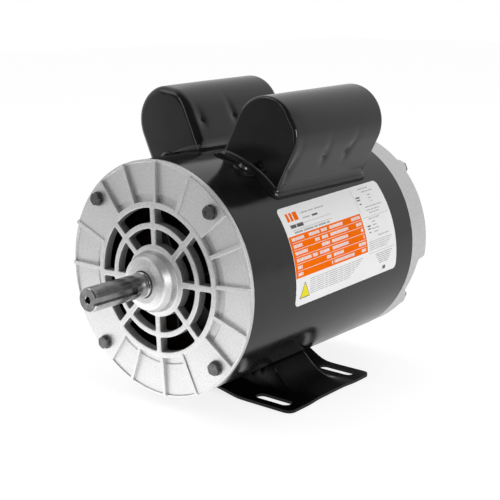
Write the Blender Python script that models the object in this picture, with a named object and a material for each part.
"""Single-phase electric motor on a rigid sheet-steel base.

Metres, +Z up. The foot stands on Z = 0, the shaft lies along Y and points to -Y, and the origin is
under the middle of the motor. Shapes round the shaft are drawn about the Y axis and then lifted by
SHAFT_HEIGHT, through the parent empty motor_axis. Angles are degrees from +X towards +Z.
"""

import math

import bmesh
import bpy
from mathutils import Matrix

# Driving dimensions: a 56 frame motor
SHAFT_HEIGHT = 0.0889
SHAFT_RADIUS = 0.0079375
SHAFT_TIP = -0.1460
SHAFT_SHOULDER = SHAFT_TIP + 0.0476
BOLT_TIP = 0.1425
GAP = 0.0003

# Shell
SHELL_RADIUS = 0.0796
SHELL_BORE = 0.0774
SHELL_FRONT = -0.0812
SHELL_REAR = 0.1086

# Foot: slots 4.88 x 3.00 inches apart
FOOT_CENTRE = 0.0096
FOOT_HALF_LENGTH = 0.049
FOOT_HALF_WIDTH = 0.077
FOOT_SHEET = 0.0025
FOOT_CORNER = 0.0055
SLOT_X = 0.0545
SLOT_Y = 0.0381
SLOT_LENGTH = 0.0290
SLOT_WIDTH = 0.0087

# End bells
BELL_RADIUS = 0.0798
BELL_FACE = -0.0863
RIB_FACE = BELL_FACE + GAP
SPIGOT_RADIUS = 0.0771
SPIGOT_BORE = 0.0741
HUB_RADIUS = 0.0240
SHAFT_HOLE = 0.0096
REAR_WALL_RADIUS = 0.0792
REAR_RIM = 0.1300
REAR_FACE = 0.1284
REAR_INSIDE = 0.1246
BOSS_END = 0.1376
RIB_ANGLES = (5.0, 25.6, 90.0, 111.5, 180.0, 251.5, 274.3, 342.6)
PAD_ANGLES = ((40.5, 67.7), (129.0, 157.8), (205.0, 236.0), (296.5, 325.0))
SPOKE_COUNT = 8
SPOKE_TURN = 2.5

# Through bolts
BOLT_CIRCLE = 0.0713
BOLT_ANGLES = (47.0, 137.0, 227.0, 317.0)
BOLT_RADIUS = 0.0024
BOLT_HOLE = 0.0027

# Ball bearings: 17 x 40 x 12 mm
BEARING_BORE = 0.0085
BEARING_SEAT = 0.0200
BEARING_WIDTH = 0.0120
BALL_CIRCLE = 0.0144
BALL_RADIUS = 0.0030
BALL_COUNT = 7
FRONT_BEARING = -0.0780
REAR_BEARING = 0.1070

# Stator, rotor and windings
CORE_FRONT = -0.0200
CORE_REAR = 0.0560
STATOR_RADIUS = 0.0768
NOTCH_RADIUS = 0.0675
STATOR_BORE = 0.0430
ROTOR_RADIUS = 0.0425
CORE_SHAFT_RADIUS = 0.0110
STATOR_SLOTS = 24
ROTOR_SLOTS = 16
FAN_BLADES = 7

# Capacitor covers: angle round the shell, front and rear ends
START_COVER = (115.0, -0.0288, 0.0748)
RUN_COVER = (63.3, -0.0317, 0.0700)
COVER_HALF_WIDTH = 0.0252
COVER_ARC_HEIGHT = 0.1068
COVER_SHEET = 0.0012
FLANGE_INSIDE = 0.0816
FLANGE_OUTSIDE = 0.0828
FLANGE_MARGIN = 0.0030
TAB_RADIUS = 0.0065
TAB_OFFSET = 0.0050
GASKET_INSIDE = 0.0799
GASKET_OUTSIDE = 0.0813

# Start switch
GOVERNOR_HINGE_Y = 0.0700
GOVERNOR_HINGE_RADIUS = 0.0215
SWITCH_SCREW_X = 0.0340
SWITCH_ARM_HINGE = (0.0290, 0.0893, 0.0)

# Rear terminals: (x, z) from the shaft axis
TERMINAL_SCREWS = ((-0.0240, 0.0455), (0.0240, 0.0455))
GROUND_SCREW = (-0.0340, 0.0440)
CABLE_PLACE = (-0.0440, 0.0260)
CABLE_HOLE = 0.0110

# Facets of round shapes
ROUND = 36
MEDIUM = 24
RACE = 20
SMALL = 12
TINY = 8

PALETTE = {
    "black_paint": ((0.018, 0.018, 0.019), 0.38, 0.3),
    "gloss_black_paint": ((0.008, 0.008, 0.009), 0.25, 0.3),
    "cast_aluminium": ((0.62, 0.62, 0.60), 0.48, 0.9),
    "ground_steel": ((0.58, 0.57, 0.55), 0.28, 1.0),
    "black_oxide": ((0.03, 0.03, 0.03), 0.42, 0.8),
    "zinc_steel": ((0.55, 0.56, 0.58), 0.35, 1.0),
    "lamination": ((0.22, 0.22, 0.23), 0.5, 0.9),
    "copper_enamel": ((0.45, 0.16, 0.05), 0.4, 0.6),
    "black_plastic": ((0.02, 0.02, 0.02), 0.5, 0.0),
    "rubber": ((0.015, 0.015, 0.015), 0.8, 0.0),
    "phenolic": ((0.16, 0.08, 0.03), 0.55, 0.0),
    "white_label": ((0.80, 0.80, 0.80), 0.45, 0.0),
    "bearing_steel": ((0.6, 0.6, 0.62), 0.2, 1.0),
}


# --- Scene helpers ---------------------------------------------------------------------------


def clear_scene():
    for thing in list(bpy.data.objects):
        bpy.data.objects.remove(thing, do_unlink=True)


def make_materials():
    """One Principled material for each entry of the palette."""
    made = {}
    for name, (colour, roughness, metallic) in PALETTE.items():
        finish = bpy.data.materials.new(name)
        finish.use_nodes = True
        shader = finish.node_tree.nodes["Principled BSDF"]
        shader.inputs["Base Color"].default_value = (*colour, 1.0)
        shader.inputs["Roughness"].default_value = roughness
        shader.inputs["Metallic"].default_value = metallic
        made[name] = finish
    return made


def make_empty(name, location, parent=None):
    empty = bpy.data.objects.new(name, None)
    empty.location = location
    empty.parent = parent
    bpy.context.scene.collection.objects.link(empty)
    return empty


def place(name, shape, finish, origin=(0.0, 0.0, 0.0), parent=None):
    """Makes a named object from a shape. Its origin goes to the given point of the motor's axis frame."""
    bmesh.ops.translate(shape, verts=shape.verts, vec=[-value for value in origin])
    mesh = bpy.data.meshes.new(name)
    shape.to_mesh(mesh)
    shape.free()
    mesh.shade_smooth()
    mesh.set_sharp_from_angle(angle=math.radians(30.0))
    mesh.materials.append(MATERIALS[finish])
    thing = bpy.data.objects.new(name, mesh)
    thing.location = origin
    thing.parent = parent or MOTOR_AXIS
    bpy.context.scene.collection.objects.link(thing)
    return thing


def combine(target, shape, operation, origin=(0.0, 0.0, 0.0)):
    """Joins or cuts target with a hidden helper made from shape."""
    helper = place(f"helper_{operation.lower()}_{target.name}", shape, "black_oxide", origin)
    helper.parent = target.parent
    helper.hide_render = True
    helper.display_type = "WIRE"
    boolean = target.modifiers.new(operation.title(), "BOOLEAN")
    boolean.operation = operation
    boolean.object = helper


def join_to(target, shape):
    combine(target, shape, "UNION")


def cut_from(target, shape):
    combine(target, shape, "DIFFERENCE")


# --- Shapes about the Y axis -----------------------------------------------------------------


def polar(radius, degrees):
    """The (x, z) point at a radius and angle round the shaft."""
    return (radius * math.cos(math.radians(degrees)), radius * math.sin(math.radians(degrees)))


def closed_shape(shape):
    bmesh.ops.recalc_face_normals(shape, faces=shape.faces)
    return shape


def strip(shape, first, second):
    """Faces between two rings of vertices. A ring that is one repeated vertex gives triangles."""
    count = len(first)
    for index in range(count):
        after = (index + 1) % count
        corners = [first[index], first[after], second[after], second[index]]
        unique = list(dict.fromkeys(corners))
        if len(unique) > 2:
            shape.faces.new(unique)


def turned(profile, segments, wave=None):
    """A profile of (radius, y) points turned about Y. One that starts on the axis also ends on it."""
    shape = bmesh.new()
    rings = []
    for radius, y in profile:
        if radius == 0.0:
            rings.append([shape.verts.new((0.0, y, 0.0))] * segments)
            continue
        ring = []
        for index in range(segments):
            angle = 360.0 * index / segments
            x, z = polar(radius, angle)
            shift = wave(angle) if wave else 0.0
            ring.append(shape.verts.new((x, y + shift, z)))
        rings.append(ring)
    for first, second in zip(rings, rings[1:]):
        strip(shape, first, second)
    if profile[0][0] != 0.0:
        strip(shape, rings[-1], rings[0])
    return closed_shape(shape)


def rod(radius, y_start, y_end, segments, x=0.0, z=0.0):
    """A solid cylinder along Y at the point (x, z)."""
    shape = turned([(0.0, y_start), (radius, y_start), (radius, y_end), (0.0, y_end)], segments)
    bmesh.ops.translate(shape, verts=shape.verts, vec=(x, 0.0, z))
    return shape


def ring(inside, outside, y_start, y_end, segments):
    return turned([(inside, y_start), (outside, y_start), (outside, y_end), (inside, y_end)], segments)


def prism(outline, y_start, y_end):
    """An outline of (x, z) points pulled along Y."""
    shape = bmesh.new()
    front = [shape.verts.new((x, y_start, z)) for x, z in outline]
    back = [shape.verts.new((x, y_end, z)) for x, z in outline]
    strip(shape, front, back)
    shape.faces.new(front)
    shape.faces.new(list(reversed(back)))
    return closed_shape(shape)


def ring_prism(outer, inner, y_start, y_end):
    """A prism between two outlines with as many points each."""
    shape = bmesh.new()
    loops = []
    for outline, y in ((outer, y_start), (outer, y_end), (inner, y_end), (inner, y_start)):
        loops.append([shape.verts.new((x, y, z)) for x, z in outline])
    for first, second in zip(loops, loops[1:] + loops[:1]):
        strip(shape, first, second)
    return closed_shape(shape)


def block(x_range, y_range, z_range):
    (x0, x1), (z0, z1) = x_range, z_range
    return prism([(x0, z0), (x1, z0), (x1, z1), (x0, z1)], *y_range)


def sector(inside, outside, start, end, y_start, y_end, steps):
    """Part of a ring between two angles."""
    angles = [start + (end - start) * index / steps for index in range(steps + 1)]
    outline = [polar(outside, angle) for angle in angles]
    outline += [polar(inside, angle) for angle in reversed(angles)]
    return prism(outline, y_start, y_end)


def spun(shape, degrees):
    """Turns a shape about the shaft."""
    bmesh.ops.transform(shape, verts=shape.verts, matrix=Matrix.Rotation(-math.radians(degrees), 4, "Y"))
    return shape


def upright(shape):
    """Turns a shape drawn along -Y so that it runs up along +Z."""
    bmesh.ops.transform(shape, verts=shape.verts, matrix=Matrix.Rotation(math.radians(-90.0), 4, "X"))
    return shape


def moved(shape, offset):
    bmesh.ops.translate(shape, verts=shape.verts, vec=offset)
    return shape


def joined(shapes):
    """Several separate shapes as one."""
    whole = bmesh.new()
    for shape in shapes:
        mesh = bpy.data.meshes.new("joined")
        shape.to_mesh(mesh)
        shape.free()
        whole.from_mesh(mesh)
        bpy.data.meshes.remove(mesh)
    return whole


def hexagon(across_flats, angle=0.0):
    corner = across_flats / math.sqrt(3.0)
    return [polar(corner, angle + 60.0 * index) for index in range(6)]


def at_bolts(make):
    """One shape for each through bolt, made on the +X axis and turned to its angle."""
    return joined([spun(make(), angle) for angle in BOLT_ANGLES])


# --- Shell, foot and end bells ---------------------------------------------------------------


def make_shell():
    shell = place("shell", ring(SHELL_BORE, SHELL_RADIUS, SHELL_FRONT, SHELL_REAR, ROUND), "black_paint")
    holes = []
    for angle, front, rear in (START_COVER, RUN_COVER):
        lead_hole = upright(rod(0.008, -0.085, -0.070, SMALL))
        holes.append(spun(moved(lead_hole, (0.0, (front + rear) / 2.0, 0.0)), angle - 90.0))
        for y in screw_places(front, rear):
            screw_hole = upright(rod(0.0023, -0.085, -0.070, TINY))
            holes.append(spun(moved(screw_hole, (0.0, y, 0.0)), angle - 90.0))
    cut_from(shell, joined(holes))


def foot_height(x, y):
    """Top of the foot's sheet above the ground, at a place measured from the foot's centre.

    The flat pads rise in a hollow curve towards the shell. The curve starts far out in the raised
    middle and far in at the two ends. Under the shell the sheet follows it.
    """
    pressed_out = math.exp(-max(abs(y) - 0.019, 0.0) / 0.0065)
    start = 0.0163 + 0.0322 * pressed_out
    softness = 0.0045 + 0.0020 * pressed_out
    ramp = 0.0233 * math.exp(-(abs(x) - start) / softness)
    if ramp < 0.00025:
        ramp = 0.0
    clear = SHELL_RADIUS + 2.0 * GAP
    under_shell = SHAFT_HEIGHT - math.sqrt(max(clear**2 - x**2, 0.0))
    if abs(x) >= clear:
        return FOOT_SHEET + ramp
    return min(FOOT_SHEET + ramp, under_shell)


def make_base_foot():
    """A pressed sheet: a grid of heights made solid, then cut to its four slots."""
    half_x = (0.0, 0.012, 0.020, 0.027, 0.034, 0.040, 0.045, 0.050, 0.055, 0.062, 0.069, FOOT_HALF_WIDTH)
    half_y = (0.0, 0.019, 0.022, 0.026, 0.031, 0.038, FOOT_HALF_LENGTH)
    columns = [-x for x in reversed(half_x[1:])] + list(half_x)
    rows = [-y for y in reversed(half_y[1:])] + list(half_y)
    shape = bmesh.new()
    grid = [[shape.verts.new((x, y, foot_height(x, y))) for x in columns] for y in rows]
    for lower, upper in zip(grid, grid[1:]):
        for index in range(len(columns) - 1):
            shape.faces.new([lower[index], lower[index + 1], upper[index + 1], upper[index]])
    foot = place("base_foot", shape, "gloss_black_paint", parent=GROUND)
    foot.location = (0.0, FOOT_CENTRE, 0.0)
    solidify = foot.modifiers.new("Sheet", "SOLIDIFY")
    solidify.thickness = FOOT_SHEET
    solidify.offset = -1.0
    cutters = []
    for side in (-1.0, 1.0):
        for end in (-1.0, 1.0):
            cutters.append(slot_cutter(side * SLOT_X, end * SLOT_Y))
            cutters.append(corner_cutter(side, end))
    combine(foot, joined(cutters), "DIFFERENCE")
    foot.modifiers["Difference"].object.location = foot.location


def corner_cutter(side, end):
    """What has to go from one corner of the foot to leave it round."""
    centre_x, centre_y = FOOT_HALF_WIDTH - FOOT_CORNER, FOOT_HALF_LENGTH - FOOT_CORNER
    beyond_x, beyond_y = FOOT_HALF_WIDTH + 0.003, FOOT_HALF_LENGTH + 0.003
    outline = [(beyond_x, centre_y)]
    for step in range(5):
        x, y = polar(FOOT_CORNER, 22.5 * step)
        outline.append((centre_x + x, centre_y + y))
    outline += [(centre_x, beyond_y), (beyond_x, beyond_y)]
    shape = prism([(side * x, end * y) for x, y in outline], -0.02, 0.02)
    bmesh.ops.transform(shape, verts=shape.verts, matrix=Matrix.Rotation(math.radians(90.0), 4, "X"))
    return shape


def slot_cutter(x, y):
    """An upright slot with round ends, longer across the motor."""
    radius = SLOT_WIDTH / 2.0
    reach = SLOT_LENGTH / 2.0 - radius
    outline = []
    for index in range(10):
        turn = math.radians(-90.0 + 180.0 * (index % 5) / 4.0 + 180.0 * (index // 5))
        centre = reach if index < 5 else -reach
        outline.append((centre + radius * math.cos(turn), radius * math.sin(turn)))
    shape = prism(outline, -0.02, 0.02)
    bmesh.ops.transform(shape, verts=shape.verts, matrix=Matrix.Rotation(math.radians(90.0), 4, "X"))
    return moved(shape, (x, y, 0.0))


def make_front_end_bell():
    """Flange with a groove and a ring, then the inner ring and hub, the spokes, the ribs and pads."""
    flange = [
        (0.0485, -0.0780),
        (0.0485, BELL_FACE),
        (0.0525, BELL_FACE),
        (0.0530, -0.0816),
        (0.0570, -0.0816),
        (0.0572, -0.0835),
        (0.0783, -0.0842),
        (0.0793, -0.0840),
        (BELL_RADIUS, -0.0831),
        (BELL_RADIUS, SHELL_FRONT - GAP),
        (SPIGOT_RADIUS, SHELL_FRONT - GAP),
        (SPIGOT_RADIUS, -0.0760),
        (SPIGOT_BORE, -0.0760),
        (SPIGOT_BORE, -0.0780),
    ]
    hub = [
        (SHAFT_HOLE, SHAFT_SHOULDER),
        (0.0135, SHAFT_SHOULDER + 0.0002),
        (0.0168, SHAFT_SHOULDER + 0.0016),
        (0.0189, SHAFT_SHOULDER + 0.0045),
        (0.0207, -0.0870),
        (HUB_RADIUS, -0.0866),
        (HUB_RADIUS, -0.0705),
        (BEARING_SEAT, -0.0705),
        (BEARING_SEAT, -0.0843),
        (SHAFT_HOLE, -0.0843),
    ]
    bell = place("front_end_bell", turned(flange, ROUND), "cast_aluminium")
    join_to(bell, joined([ring(0.0347, 0.0385, BELL_FACE, -0.0790, MEDIUM), turned(hub, MEDIUM)]))
    spoke_y = (BELL_FACE + 0.0002, -0.0795)
    spokes = []
    for index in range(SPOKE_COUNT):
        spoke = block((0.0220, 0.0500), spoke_y, (-0.0020, 0.0020))
        spokes.append(spun(spoke, SPOKE_TURN + 360.0 * index / SPOKE_COUNT))
    join_to(bell, joined(spokes))
    rib_y = (RIB_FACE, -0.0812)
    raised = [spun(block((0.0515, 0.0786), rib_y, (-0.0015, 0.0015)), angle) for angle in RIB_ANGLES]
    raised += [sector(0.0515, 0.0784, start, end, *rib_y, 4) for start, end in PAD_ANGLES]
    join_to(bell, joined(raised))
    cut_from(bell, at_bolts(lambda: rod(BOLT_HOLE, -0.095, -0.070, TINY, BOLT_CIRCLE)))


def make_rear_end_bell():
    """A cup with a bearing pocket, bolt bosses, side cut-outs, vents, a terminal window and a cable hole."""
    cup = [
        (0.0, 0.1210),
        (0.0210, 0.1210),
        (0.0230, REAR_FACE),
        (0.0752, REAR_FACE),
        (0.0762, REAR_RIM),
        (0.0782, REAR_RIM),
        (REAR_WALL_RADIUS, REAR_RIM - 0.0010),
        (REAR_WALL_RADIUS, SHELL_REAR + GAP),
        (SPIGOT_RADIUS, SHELL_REAR + GAP),
        (SPIGOT_RADIUS, 0.1030),
        (SPIGOT_BORE, 0.1030),
        (SPIGOT_BORE, REAR_INSIDE),
        (0.0245, REAR_INSIDE),
        (0.0245, 0.0990),
        (BEARING_SEAT, 0.0990),
        (BEARING_SEAT, 0.1160),
        (0.0, 0.1160),
    ]
    bell = place("rear_end_bell", turned(cup, ROUND), "cast_aluminium")
    bosses = at_bolts(lambda: rod(0.0072, SHELL_REAR + 2.0 * GAP, BOSS_END, SMALL, BOLT_CIRCLE))
    lugs = [rod(0.0045, 0.0960, 0.1250, TINY, side * SWITCH_SCREW_X) for side in (-1.0, 1.0)]
    join_to(bell, joined([bosses, *lugs]))
    openings = [at_bolts(lambda: rod(BOLT_HOLE, 0.100, 0.150, TINY, BOLT_CIRCLE))]
    openings += [rod(0.0017, 0.090, 0.108, TINY, side * SWITCH_SCREW_X) for side in (-1.0, 1.0)]
    for start, end in ((-28.0, -11.0), (191.0, 208.0)):
        openings.append(sector(0.0700, 0.0850, start, end, 0.1180, 0.1400, 3))
    for centre in (-90.0, -62.0, -118.0, -34.0, -146.0):
        openings.append(sector(0.0330, 0.0600, centre - 11.0, centre + 11.0, 0.120, 0.140, 3))
    openings.append(block((-0.0200, 0.0200), (0.120, 0.140), (0.0340, 0.0570)))
    openings.append(rod(CABLE_HOLE, 0.120, 0.140, MEDIUM, *CABLE_PLACE))
    openings += [rod(0.0021, 0.120, 0.140, TINY, x, z) for x, z in (*TERMINAL_SCREWS, GROUND_SCREW)]
    cut_from(bell, joined(openings))


def make_through_bolts():
    """Four bolts with a washer-faced hexagon head, and a nut behind each rear boss."""
    for number, angle in enumerate(BOLT_ANGLES, 1):
        x, z = polar(BOLT_CIRCLE, angle)
        head_seat = BELL_FACE
        profile = [
            (0.0, head_seat - 0.0009),
            (0.0052, head_seat - 0.0009),
            (0.0052, head_seat),
            (BOLT_RADIUS, head_seat),
            (BOLT_RADIUS, BOLT_TIP),
            (0.0, BOLT_TIP),
        ]
        bolt_shape = moved(turned(profile, SMALL), (x, 0.0, z))
        bolt = place(f"through_bolt_{number}", bolt_shape, "black_oxide", (x, 0.0, z))
        head = prism(hexagon(0.00794, 20.0 * number), head_seat - 0.0036, head_seat - 0.0005)
        combine(bolt, moved(head, (x, 0.0, z)), "UNION", (x, 0.0, z))
        hole = [polar(BOLT_HOLE + 0.0004, 60.0 * index) for index in range(6)]
        nut = ring_prism(hexagon(0.0095), hole, BOSS_END + GAP, BOSS_END + 0.0035)
        place(f"through_bolt_nut_{number}", moved(nut, (x, 0.0, z)), "black_oxide", (x, 0.0, z))


# --- Capacitors and their covers -------------------------------------------------------------


def screw_places(front, rear):
    """Where a cover's two screws stand along the shaft."""
    return (front - TAB_OFFSET - FLANGE_MARGIN, rear + TAB_OFFSET + FLANGE_MARGIN)


def arch(half_width, arc_height, bottom, steps):
    """Outline of a cover: straight sides under a half circle."""
    outline = [(half_width, bottom)]
    for index in range(steps + 1):
        x, z = polar(half_width, 180.0 * index / steps)
        outline.append((x, arc_height + z))
    outline.append((-half_width, bottom))
    return outline


def lies_on_shell(inside, outside, half_width, front, rear, tab_radius):
    """A curved sheet on the shell under a cover, with a round tab at each end."""
    half_angle = math.degrees(half_width / inside)
    sheet = sector(inside, outside, 90.0 - half_angle, 90.0 + half_angle, front, rear, 10)
    tabs = []
    for y in screw_places(front + FLANGE_MARGIN, rear - FLANGE_MARGIN):
        low = -(inside + 0.0002)
        tab = upright(rod(tab_radius, low, -(outside - 0.0002), SMALL))
        tabs.append(moved(tab, (0.0, y, 0.0)))
    return sheet, tabs


def make_cover(name, angle, front, rear):
    turn = angle - 90.0
    body = prism(arch(COVER_HALF_WIDTH, COVER_ARC_HEIGHT, 0.070, 12), front, rear)
    cover = place(name, spun(body, turn), "black_paint")
    reach = COVER_HALF_WIDTH + FLANGE_MARGIN
    sheet, tabs = lies_on_shell(
        FLANGE_INSIDE, FLANGE_OUTSIDE, reach, front - FLANGE_MARGIN, rear + FLANGE_MARGIN, TAB_RADIUS
    )
    join_to(cover, spun(sheet, turn))
    join_to(cover, spun(joined(tabs), turn))
    inner = arch(COVER_HALF_WIDTH - COVER_SHEET, COVER_ARC_HEIGHT, 0.060, 12)
    cut_from(cover, spun(prism(inner, front + COVER_SHEET, rear - COVER_SHEET), turn))
    below = sector(0.060, FLANGE_INSIDE, 65.0, 115.0, front - 0.02, rear + 0.02, 10)
    cut_from(cover, spun(below, turn))
    cut_from(cover, screw_holes(angle, front, rear))


def screw_holes(angle, front, rear):
    holes = []
    for y in screw_places(front, rear):
        hole = upright(rod(0.0023, -0.086, -0.078, TINY))
        holes.append(spun(moved(hole, (0.0, y, 0.0)), angle - 90.0))
    return joined(holes)


def make_cover_gasket(name, angle, front, rear):
    turn = angle - 90.0
    reach = COVER_HALF_WIDTH + FLANGE_MARGIN + 0.0005
    margin = FLANGE_MARGIN + 0.0005
    sheet, tabs = lies_on_shell(
        GASKET_INSIDE, GASKET_OUTSIDE, reach, front - margin, rear + margin, TAB_RADIUS
    )
    gasket = place(name, spun(sheet, turn), "rubber")
    join_to(gasket, spun(joined(tabs), turn))
    window = block((-0.021, 0.021), (front + 0.004, rear - 0.004), (0.060, 0.090))
    cut_from(gasket, spun(window, turn))
    cut_from(gasket, screw_holes(angle, front, rear))


def make_cover_screw(name, angle, y):
    profile = [
        (0.0, -0.0853),
        (0.0022, -0.0851),
        (0.0040, -0.0840),
        (0.0040, -(FLANGE_OUTSIDE + GAP)),
        (0.0019, -(FLANGE_OUTSIDE + GAP)),
        (0.0019, -0.0730),
        (0.0, -0.0730),
    ]
    shape = moved(upright(turned(profile, TINY)), (0.0, y, 0.0))
    x, z = polar(FLANGE_OUTSIDE, angle)
    place(name, spun(shape, angle - 90.0), "black_oxide", (x, y, z))


def make_capacitor(name, angle, front, rear, radius, finish):
    """A round can with two spade terminals on its rear end."""
    turn = angle - 90.0
    x, z = polar(COVER_ARC_HEIGHT, angle)
    can = rod(radius, front + 0.0040, rear - 0.0120, MEDIUM, 0.0, COVER_ARC_HEIGHT)
    capacitor = place(name, spun(can, turn), finish, (x, 0.0, z))
    spades = []
    for side in (-0.008, 0.008):
        height = COVER_ARC_HEIGHT + 0.004
        spade = block((side - 0.003, side + 0.003), (rear - 0.0130, rear - 0.0050), (height, height + 0.0009))
        spades.append(spade)
    combine(capacitor, spun(joined(spades), turn), "UNION", (x, 0.0, z))


def make_capacitor_group(label, cover, radius, finish, first_screw):
    angle, front, rear = cover
    make_cover(f"{label}_capacitor_cover", angle, front, rear)
    make_cover_gasket(f"{label}_cover_gasket", angle, front, rear)
    make_capacitor(f"{label}_capacitor", angle, front, rear, radius, finish)
    for offset, y in enumerate(screw_places(front, rear)):
        make_cover_screw(f"cover_screw_{first_screw + offset}", angle, y)


def make_nameplate_label():
    """A thin label bent round the +X side of the shell."""
    label = sector(SHELL_RADIUS + 0.0004, SHELL_RADIUS + 0.0007, -9.7, 38.8, -0.0396, 0.0841, 16)
    place("nameplate_label", label, "white_label")


# --- Stator, windings and rotor --------------------------------------------------------------


def slotted(count, mouth, floor, half_mouth, half_floor):
    """Outline with radial slots: four points for each slot, from its mouth to its floor and back."""
    outline = []
    for index in range(count):
        middle = 360.0 * index / count
        outline.append(polar(mouth, middle - half_mouth))
        outline.append(polar(floor, middle - half_floor))
        outline.append(polar(floor, middle + half_floor))
        outline.append(polar(mouth, middle + half_mouth))
    return outline


def spread(count, radius_at):
    """Outline with four evenly spread points for each slot, at the radius that radius_at gives."""
    outline = []
    for index in range(4 * count):
        angle = (index - 1.5) * 90.0 / count
        outline.append(polar(radius_at(angle), angle))
    return outline


def make_stator_core():
    """Round lamination stack, with slots inside and a notch for each through bolt outside."""

    def outside(angle):
        nearest = min(abs((angle - bolt + 180.0) % 360.0 - 180.0) for bolt in BOLT_ANGLES)
        return NOTCH_RADIUS if nearest < 4.0 else STATOR_RADIUS

    outer = spread(STATOR_SLOTS, outside)
    inner = slotted(STATOR_SLOTS, STATOR_BORE, 0.0640, 2.2, 1.9)
    place("stator_core", ring_prism(outer, inner, CORE_FRONT, CORE_REAR), "lamination")


def bars(count, inside, outside, half_width, y_start, y_end, step=1):
    """Straight bars in the slots."""
    made = []
    for index in range(0, count, step):
        bar = block((inside, outside), (y_start, y_end), (-half_width, half_width))
        made.append(spun(bar, 360.0 * index / count))
    return joined(made)


def rounded_ring(inside, outside, y_start, y_end, chamfer, segments):
    """A ring with its corners taken off, as end turns have."""
    profile = [
        (inside + chamfer, y_start),
        (outside - chamfer, y_start),
        (outside, y_start + chamfer),
        (outside, y_end - chamfer),
        (outside - chamfer, y_end),
        (inside + chamfer, y_end),
        (inside, y_end - chamfer),
        (inside, y_start + chamfer),
    ]
    return turned(profile, segments)


def make_windings():
    """Two windings: end turns outside the core, joined by bars in the slots."""
    y_bars = (CORE_FRONT - 0.008, CORE_REAR + 0.008)
    for name, inside, outside, half_width, step in (
        ("main_winding", 0.0575, 0.0635, 0.0014, 1),
        ("start_winding", 0.0465, 0.0535, 0.0010, 2),
    ):
        reach = 0.0675 if step == 1 else 0.0545
        front = ring(inside - 0.0005, reach, CORE_FRONT - 0.024, CORE_FRONT - 0.004, MEDIUM)
        rear = ring(inside - 0.0005, reach, CORE_REAR + 0.004, CORE_REAR + 0.024, MEDIUM)
        winding = place(name, joined([front, rear]), "copper_enamel")
        join_to(winding, bars(STATOR_SLOTS, inside, outside, half_width, *y_bars, step))


def make_rotor():
    """Laminations with open slots, and the cast cage of bars and end rings in them."""
    outer = slotted(ROTOR_SLOTS, ROTOR_RADIUS, 0.0365, 1.7, 1.7)
    inner = spread(ROTOR_SLOTS, lambda angle: CORE_SHAFT_RADIUS + GAP)
    place("rotor_core", ring_prism(outer, inner, CORE_FRONT, CORE_REAR), "lamination", parent=ROTOR_AXIS)
    front = ring(0.0240, 0.0420, CORE_FRONT - 0.0083, CORE_FRONT - GAP, MEDIUM)
    rear = ring(0.0240, 0.0420, CORE_REAR + GAP, CORE_REAR + 0.0083, MEDIUM)
    cage = place("rotor_cage", joined([front, rear]), "cast_aluminium", parent=ROTOR_AXIS)
    join_to(cage, bars(ROTOR_SLOTS, 0.0368, 0.0415, 0.0008, CORE_FRONT - 0.003, CORE_REAR + 0.003))


def make_shaft():
    """Stepped shaft with a centre hole, an open keyseat on its +X side and a seat for each bearing."""
    seat = BEARING_BORE
    front_step = FRONT_BEARING + BEARING_WIDTH / 2.0 + GAP
    rear_step = REAR_BEARING - BEARING_WIDTH / 2.0 - GAP
    profile = [
        (0.0, SHAFT_TIP + 0.0035),
        (0.0023, SHAFT_TIP),
        (SHAFT_RADIUS - 0.0008, SHAFT_TIP),
        (SHAFT_RADIUS, SHAFT_TIP + 0.0008),
        (SHAFT_RADIUS, SHAFT_SHOULDER - 0.0020),
        (seat, SHAFT_SHOULDER - 0.0016),
        (seat, front_step),
        (CORE_SHAFT_RADIUS, front_step),
        (CORE_SHAFT_RADIUS, rear_step),
        (seat, rear_step),
        (seat, 0.1145),
        (0.0, 0.1145),
    ]
    shaft = place("shaft", turned(profile, MEDIUM), "ground_steel", parent=ROTOR_AXIS)
    keyseat = block((0.0053, 0.0100), (SHAFT_TIP - 0.005, SHAFT_TIP + 0.0358), (-0.00238, 0.00238))
    cut_from(shaft, keyseat)


def make_cooling_fan():
    """A hub, a back disc and straight blades."""
    hub = ring(CORE_SHAFT_RADIUS + GAP, 0.0160, -0.0640, -0.0480, MEDIUM)
    fan = place("cooling_fan", hub, "black_plastic", parent=ROTOR_AXIS)
    join_to(fan, ring(0.0150, 0.0400, -0.0500, -0.0484, MEDIUM))
    blades = []
    for index in range(FAN_BLADES):
        blade = block((0.0155, 0.0415), (-0.0630, -0.0490), (-0.0008, 0.0008))
        blades.append(spun(blade, 360.0 * index / FAN_BLADES + 10.0))
    join_to(fan, joined(blades))


# --- Bearings --------------------------------------------------------------------------------


def make_bearing(place_name, middle, balls_axis):
    """Outer race, inner race, and the balls held in their cage."""
    half = BEARING_WIDTH / 2.0
    groove = 0.0032
    outer = [
        (BEARING_SEAT - GAP, middle - half),
        (BEARING_SEAT - GAP, middle + half),
        (0.0166, middle + half),
        (0.0166, middle + groove),
        (0.0179, middle),
        (0.0166, middle - groove),
        (0.0166, middle - half),
    ]
    inner = [
        (BEARING_BORE + GAP, middle - half),
        (0.0122, middle - half),
        (0.0122, middle - groove),
        (0.0109, middle),
        (0.0122, middle + groove),
        (0.0122, middle + half),
        (BEARING_BORE + GAP, middle + half),
    ]
    place(f"{place_name}_bearing_outer_race", turned(outer, RACE), "bearing_steel")
    place(f"{place_name}_bearing_inner_race", turned(inner, RACE), "bearing_steel", parent=ROTOR_AXIS)
    cage = ring(0.0136, 0.0152, middle - 0.0010, middle + 0.0010, SMALL + 2)
    balls = place(f"{place_name}_bearing_balls", cage, "bearing_steel", parent=balls_axis)
    spheres = []
    for index in range(BALL_COUNT):
        sphere = bmesh.new()
        bmesh.ops.create_uvsphere(sphere, u_segments=6, v_segments=4, radius=BALL_RADIUS)
        spheres.append(spun(moved(sphere, (BALL_CIRCLE, middle, 0.0)), 360.0 * index / BALL_COUNT + 4.0))
    join_to(balls, joined(spheres))


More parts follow.
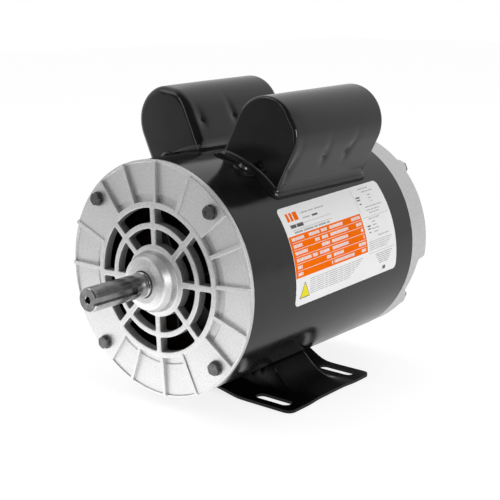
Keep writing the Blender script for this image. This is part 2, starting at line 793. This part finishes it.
def make_wave_washer():
    """A sprung ring with three waves between the rear outer race and its pocket."""
    middle = 0.1145
    profile = [
        (0.0160, middle - 0.0002),
        (0.0194, middle - 0.0002),
        (0.0194, middle + 0.0002),
        (0.0160, middle + 0.0002),
    ]
    shape = turned(profile, MEDIUM, wave=lambda angle: 0.0009 * math.cos(math.radians(3.0 * angle)))
    place("wave_washer", shape, "zinc_steel")


# --- Centrifugal start switch ----------------------------------------------------------------


def make_governor():
    """A hub on the shaft, two weights hinged at its rim, and two springs between the weights."""
    hub_place = (0.0, GOVERNOR_HINGE_Y, 0.0)
    sleeve = ring(CORE_SHAFT_RADIUS + GAP, 0.0180, 0.0670, 0.0730, MEDIUM)
    hub = place("governor_hub", sleeve, "zinc_steel", hub_place, ROTOR_AXIS)
    arms = []
    for number, side in ((1, 1.0), (2, -1.0)):
        arms.append(block((-0.0040, 0.0040), (0.0675, 0.0725), sorted((side * 0.0135, side * 0.0195))))
        hinge = (0.0, GOVERNOR_HINGE_Y, side * GOVERNOR_HINGE_RADIUS)
        weight = block((-0.0130, 0.0130), (0.0690, 0.0840), sorted((side * 0.0205, side * 0.0270)))
        place(f"governor_weight_{number}", weight, "zinc_steel", hinge, ROTOR_AXIS)
        spring_place = (side * 0.0200, 0.0780, 0.0)
        spring = coil_spring(*spring_place[:2])
        place(f"governor_spring_{number}", spring, "bearing_steel", spring_place, ROTOR_AXIS)
    combine(hub, joined(arms), "UNION", hub_place)
    spool = [
        (CORE_SHAFT_RADIUS + GAP, 0.0780),
        (0.0150, 0.0780),
        (0.0150, 0.0868),
        (0.0185, 0.0868),
        (0.0185, 0.0884),
        (CORE_SHAFT_RADIUS + GAP, 0.0884),
    ]
    place("governor_spool", turned(spool, MEDIUM), "black_plastic", (0.0, 0.0780, 0.0), ROTOR_AXIS)


def coil_spring(x, y):
    """A small coil along Z, as a tube with square sides that follows a helix."""
    turns, steps, coil_radius, wire = 5, 6, 0.0016, 0.0005
    length = 0.0340
    shape = bmesh.new()
    sections = []
    for index in range(turns * steps + 1):
        turn = 2.0 * math.pi * index / steps
        height = length * (index / (turns * steps) - 0.5)
        section = []
        for corner in range(4):
            around = math.radians(45.0 + 90.0 * corner)
            radius = coil_radius + wire * math.cos(around)
            level = height + wire * math.sin(around)
            spot = (x + radius * math.cos(turn), y + radius * math.sin(turn), level)
            section.append(shape.verts.new(spot))
        sections.append(section)
    for first, second in zip(sections, sections[1:]):
        strip(shape, first, second)
    shape.faces.new(sections[0])
    shape.faces.new(list(reversed(sections[-1])))
    return closed_shape(shape)


def make_start_switch():
    """The stationary plate, its screws, and the forked arm that the spool pushes."""
    plate = place("switch_plate", block((-0.0410, 0.0410), (0.0932, 0.0957), (-0.0190, 0.0190)), "phenolic")
    holes = [rod(0.0130, 0.090, 0.100, MEDIUM)]
    holes += [rod(0.0021, 0.090, 0.100, TINY, side * SWITCH_SCREW_X) for side in (-1.0, 1.0)]
    cut_from(plate, joined(holes))
    for number, side in ((1, 1.0), (2, -1.0)):
        x = side * SWITCH_SCREW_X
        profile = [
            (0.0, 0.0905),
            (0.0034, 0.0905),
            (0.0034, 0.0929),
            (0.0015, 0.0929),
            (0.0015, 0.1060),
            (0.0, 0.1060),
        ]
        screw = moved(turned(profile, TINY), (x, 0.0, 0.0))
        place(f"switch_screw_{number}", screw, "zinc_steel", (x, 0.0, 0.0))
    outline = [
        (0.0300, -0.0165),
        (0.0300, 0.0165),
        (-0.0140, 0.0165),
        (-0.0140, 0.0135),
        (0.0240, 0.0135),
        (0.0240, -0.0135),
        (-0.0140, -0.0135),
        (-0.0140, -0.0165),
    ]
    place("switch_arm", prism(outline, 0.0888, 0.0898), "zinc_steel", SWITCH_ARM_HINGE)


# --- Terminals at the rear -------------------------------------------------------------------


def make_rear_screw(name, x, z, seat):
    profile = [
        (0.0, seat + 0.0022),
        (0.0025, seat + 0.0020),
        (0.0035, seat + 0.0010),
        (0.0035, seat),
        (0.0017, seat),
        (0.0017, 0.1252),
        (0.0, 0.1252),
    ]
    place(name, moved(turned(profile, TINY), (x, 0.0, z)), "zinc_steel", (x, 0.0, z))


def make_terminals():
    """A board with spade terminals behind a window in the rear bell, and the plate that closes it."""
    sheet = block((-0.0230, 0.0230), (0.1140, 0.1165), (0.0300, 0.0610))
    board = place("terminal_board", sheet, "phenolic")
    posts = [rod(0.0022, 0.1160, REAR_INSIDE - GAP, TINY, x, 0.0595) for x in (-0.0200, 0.0200)]
    spades = []
    for index in range(4):
        x = 0.0090 * (index - 1.5)
        spades.append(block((x - 0.003, x + 0.003), (0.1160, 0.1250), (0.0450, 0.0459)))
    join_to(board, joined(posts + spades))
    cover_y = (REAR_FACE + GAP, REAR_FACE + GAP + 0.0015)
    cover = place("terminal_cover", block((-0.0280, 0.0280), cover_y, (0.0290, 0.0620)), "black_paint")
    cut_from(cover, joined([rod(0.0021, 0.120, 0.140, TINY, x, z) for x, z in TERMINAL_SCREWS]))
    for number, (x, z) in enumerate(TERMINAL_SCREWS, 1):
        make_rear_screw(f"terminal_cover_screw_{number}", x, z, cover_y[1] + GAP)
    make_rear_screw("ground_screw", *GROUND_SCREW, REAR_FACE + GAP)
    disc = rounded_ring(0.0020, 0.0120, 0.1150, REAR_INSIDE - GAP, 0.0012, SMALL)
    protector = moved(disc, (0.0440, 0.0, 0.0260))
    place("thermal_protector", protector, "black_plastic", (0.0440, 0.1150, 0.0260))


def make_cable_grommet():
    """A rubber ring in the hole where the supply leads come in."""
    x, z = CABLE_PLACE
    edge = CABLE_HOLE - GAP
    profile = [
        (0.0085, REAR_INSIDE - 0.0018),
        (0.0125, REAR_INSIDE - 0.0018),
        (0.0125, REAR_INSIDE - GAP),
        (edge, REAR_INSIDE - GAP),
        (edge, REAR_FACE + GAP),
        (0.0125, REAR_FACE + GAP),
        (0.0125, REAR_FACE + 0.0018),
        (0.0085, REAR_FACE + 0.0018),
    ]
    place("cable_grommet", moved(turned(profile, RACE), (x, 0.0, z)), "rubber", (x, 0.0, z))


clear_scene()
MATERIALS = make_materials()
GROUND = make_empty("ground", (0.0, 0.0, 0.0))
MOTOR_AXIS = make_empty("motor_axis", (0.0, 0.0, SHAFT_HEIGHT))
ROTOR_AXIS = make_empty("rotor_axis", (0.0, 0.0, 0.0), MOTOR_AXIS)
FRONT_BALLS_AXIS = make_empty("front_balls_axis", (0.0, 0.0, 0.0), MOTOR_AXIS)
REAR_BALLS_AXIS = make_empty("rear_balls_axis", (0.0, 0.0, 0.0), MOTOR_AXIS)
make_shell()
make_base_foot()
make_front_end_bell()
make_rear_end_bell()
make_through_bolts()
make_capacitor_group("start", START_COVER, 0.0220, "black_plastic", 1)
make_capacitor_group("run", RUN_COVER, 0.0215, "cast_aluminium", 3)
make_nameplate_label()
make_stator_core()
make_windings()
make_rotor()
make_shaft()
make_cooling_fan()
make_bearing("front", FRONT_BEARING, FRONT_BALLS_AXIS)
make_bearing("rear", REAR_BEARING, REAR_BALLS_AXIS)
make_wave_washer()
make_governor()
make_start_switch()
make_terminals()
make_cable_grommet()
